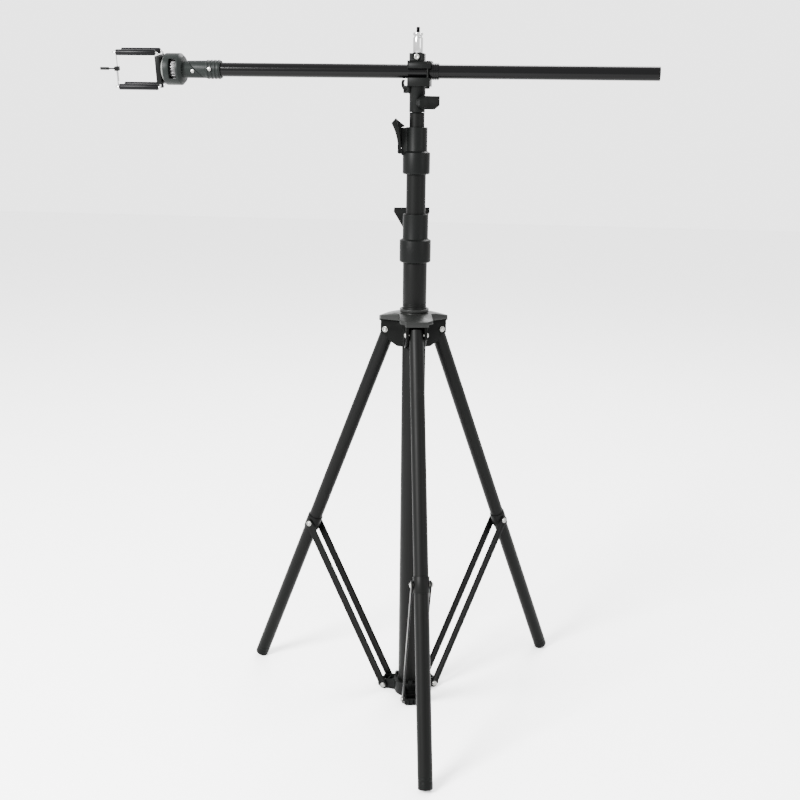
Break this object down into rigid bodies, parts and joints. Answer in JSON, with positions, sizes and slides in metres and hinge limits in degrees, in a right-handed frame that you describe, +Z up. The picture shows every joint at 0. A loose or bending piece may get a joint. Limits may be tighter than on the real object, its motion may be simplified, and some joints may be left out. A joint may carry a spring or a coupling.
{
  "type": "boom light stand with phone clamp",
  "caption": "Black telescopic tripod stand with a horizontal boom arm, a swivel head and a sprung wire phone clamp, topped by a chrome spigot.",
  "frame": {"origin": "on the column's axis at floor level", "axes": "+Z up along the column, the boom along X with the phone clamp at -X"},
  "size_m": [0.9061, 0.5449, 1.1577],
  "materials": {
    "black_tube": "satin black anodised tube",
    "black_casting": "black powder-coated casting",
    "cap_casting": "dark grey moulded cover, fine grain",
    "black_plastic": "black moulded plastic, fine grain",
    "brace_steel": "black painted steel strip",
    "zinc_fastener": "bright zinc plate",
    "chrome_steel": "polished chrome plate",
    "wheel_metal": "satin nickel, ribbed rim",
    "soft_rubber": "smooth black rubber"
  },
  "bodies": {
    "column": {"column_tube": "black_tube", "lower_spider": "black_casting", "lower_collar": "black_casting", "lower_collar_sleeve": "black_plastic", "lower_lever_pin": "zinc_fastener"},
    "crown": {"crown_body": "black_casting", "crown_cap": "cap_casting", "leg_pivot_bolts": "zinc_fastener"},
    "crown_knob": {"crown_knob": "black_plastic"},
    "mid_section": {"mid_tube": "black_tube", "mid_tube_bush": "black_plastic", "upper_collar": "black_casting", "upper_collar_sleeve": "black_plastic", "upper_lever_pin": "zinc_fastener"},
    "lower_lever": {"lower_lever": "black_plastic"},
    "upper_lever": {"upper_lever": "black_plastic"},
    "top_section": {"top_tube": "black_tube", "top_tube_bush": "black_plastic", "stand_spigot": "chrome_steel"},
    "boom_clamp": {"clamp_body": "black_casting", "clamp_bush": "black_plastic", "jaw_screw": "zinc_fastener", "top_spigot": "chrome_steel", "spigot_screw": "zinc_fastener"},
    "clamp_lever": {"clamp_lever": "black_plastic"},
    "receiver_knob": {"receiver_knob": "black_plastic"},
    "boom": {"boom_tube": "black_tube", "boom_end_cap": "black_plastic", "boom_sleeve": "black_plastic", "sleeve_screw": "zinc_fastener"},
    "head": {"head_cup": "black_plastic", "swivel_axle": "zinc_fastener", "head_lock_screw": "zinc_fastener", "head_pad": "soft_rubber"},
    "thumb_wheel": {"thumb_wheel": "wheel_metal"},
    "phone_clamp": {"clamp_base": "black_plastic", "lower_wires": "chrome_steel", "lower_grips": "soft_rubber", "guide_block": "black_plastic"},
    "upper_jaw": {"upper_wires": "chrome_steel", "upper_grips": "soft_rubber"},
    "leg_front": {"leg_tube_front": "black_tube", "leg_foot_front": "black_plastic", "brace_band_front": "brace_steel", "brace_bolt_front": "zinc_fastener"},
    "brace_front": {"brace_bars_front": "brace_steel", "brace_rivets_front": "zinc_fastener"},
    "leg_right": {"leg_tube_right": "black_tube", "leg_foot_right": "black_plastic", "brace_band_right": "brace_steel", "brace_bolt_right": "zinc_fastener"},
    "brace_right": {"brace_bars_right": "brace_steel", "brace_rivets_right": "zinc_fastener"},
    "leg_left": {"leg_tube_left": "black_tube", "leg_foot_left": "black_plastic", "brace_band_left": "brace_steel", "brace_bolt_left": "zinc_fastener"},
    "brace_left": {"brace_bars_left": "brace_steel", "brace_rivets_left": "zinc_fastener"}
  },
  "joints": [
    {"name": "crown_slide", "type": "slide", "parent": "column", "child": "crown", "axis": [0, 0, 1], "range_m": [0, 0.06584]},
    {"name": "leg_front_fold", "type": "hinge", "parent": "crown", "child": "leg_front", "pos_m": [0.00956, -0.045, 0.6716], "axis": [0.9781, 0.2079, 0], "range_deg": [0, 18.24]},
    {"name": "brace_front_fold", "type": "hinge", "parent": "leg_front", "child": "brace_front", "pos_m": [0.04132, -0.19441, 0.29619], "axis": [-0.9781, -0.2079, 0], "range_deg": [0, 41.19]},
    {"name": "leg_right_fold", "type": "hinge", "parent": "crown", "child": "leg_right", "pos_m": [0.03419, 0.03078, 0.6716], "axis": [-0.6691, 0.7431, 0], "range_deg": [0, 18.24]},
    {"name": "brace_right_fold", "type": "hinge", "parent": "leg_right", "child": "brace_right", "pos_m": [0.1477, 0.13299, 0.29619], "axis": [0.6691, -0.7431, 0], "range_deg": [0, 41.19]},
    {"name": "leg_left_fold", "type": "hinge", "parent": "crown", "child": "leg_left", "pos_m": [-0.04375, 0.01422, 0.6716], "axis": [-0.309, -0.9511, 0], "range_deg": [0, 18.24]},
    {"name": "brace_left_fold", "type": "hinge", "parent": "leg_left", "child": "brace_left", "pos_m": [-0.18902, 0.06142, 0.29619], "axis": [0.309, 0.9511, 0], "range_deg": [0, 41.19]},
    {"name": "crown_knob_turn", "type": "hinge", "parent": "crown", "child": "crown_knob", "pos_m": [-0.00728, 0.03424, 0.6756], "axis": [-0.2079, 0.9781, 0], "continuous": true},
    {"name": "mid_slide", "type": "slide", "parent": "column", "child": "mid_section", "axis": [0, 0, 1], "range_m": [-0.06, 0.58]},
    {"name": "top_slide", "type": "slide", "parent": "mid_section", "child": "top_section", "axis": [0, 0, 1], "range_m": [-0.015, 0.6]},
    {"name": "lower_lever_flip", "type": "hinge", "parent": "column", "child": "lower_lever", "pos_m": [-0.00892, 0.02917, 0.8247], "axis": [-0.9563, -0.2924, 0], "range_deg": [0, 95]},
    {"name": "upper_lever_flip", "type": "hinge", "parent": "mid_section", "child": "upper_lever", "pos_m": [-0.0267, -0.00328, 0.9656], "axis": [0.1219, -0.9925, 0], "range_deg": [0, 95]},
    {"name": "boom_pan", "type": "hinge", "parent": "top_section", "child": "boom_clamp", "pos_m": [0, 0, 1.04], "axis": [0, 0, 1], "continuous": true},
    {"name": "receiver_knob_turn", "type": "hinge", "parent": "boom_clamp", "child": "receiver_knob", "pos_m": [0.0106, -0.01696, 1.042], "axis": [0.5299, -0.848, 0], "range_deg": [-150, 20]},
    {"name": "clamp_lever_flip", "type": "hinge", "parent": "boom_clamp", "child": "clamp_lever", "pos_m": [-0.018, 0, 1.0615], "axis": [0, -1, 0], "range_deg": [0, 95]},
    {"name": "boom_slide", "type": "slide", "parent": "boom_clamp", "child": "boom", "axis": [1, 0, 0], "range_m": [-0.33, 0.29]},
    {"name": "head_swivel", "type": "hinge", "parent": "boom", "child": "head", "pos_m": [-0.3627, 0, 1.09], "axis": [0.7071, 0, 0.7071], "range_deg": [-180, 180]},
    {"name": "thumb_wheel_turn", "type": "hinge", "parent": "head", "child": "thumb_wheel", "pos_m": [-0.3973, 0, 1.09], "axis": [1, 0, 0], "continuous": true},
    {"name": "phone_turn", "type": "hinge", "parent": "head", "child": "phone_clamp", "pos_m": [-0.4218, 0, 1.09], "axis": [1, 0, 0], "continuous": true},
    {"name": "upper_jaw_slide", "type": "slide", "parent": "phone_clamp", "child": "upper_jaw", "axis": [0, -0.1564, 0.9877], "range_m": [0, 0.022], "stiffness_N_per_m": 250, "springref_m": -0.012}
  ],
  "couplings": [
    {"joint": "leg_front_fold", "follows": "crown_slide", "rad_per_m": 4.8088},
    {"joint": "brace_front_fold", "follows": "crown_slide", "rad_per_m": 10.891},
    {"joint": "leg_right_fold", "follows": "crown_slide", "rad_per_m": 4.8088},
    {"joint": "brace_right_fold", "follows": "crown_slide", "rad_per_m": 10.891},
    {"joint": "leg_left_fold", "follows": "crown_slide", "rad_per_m": 4.8088},
    {"joint": "brace_left_fold", "follows": "crown_slide", "rad_per_m": 10.891}
  ]
}
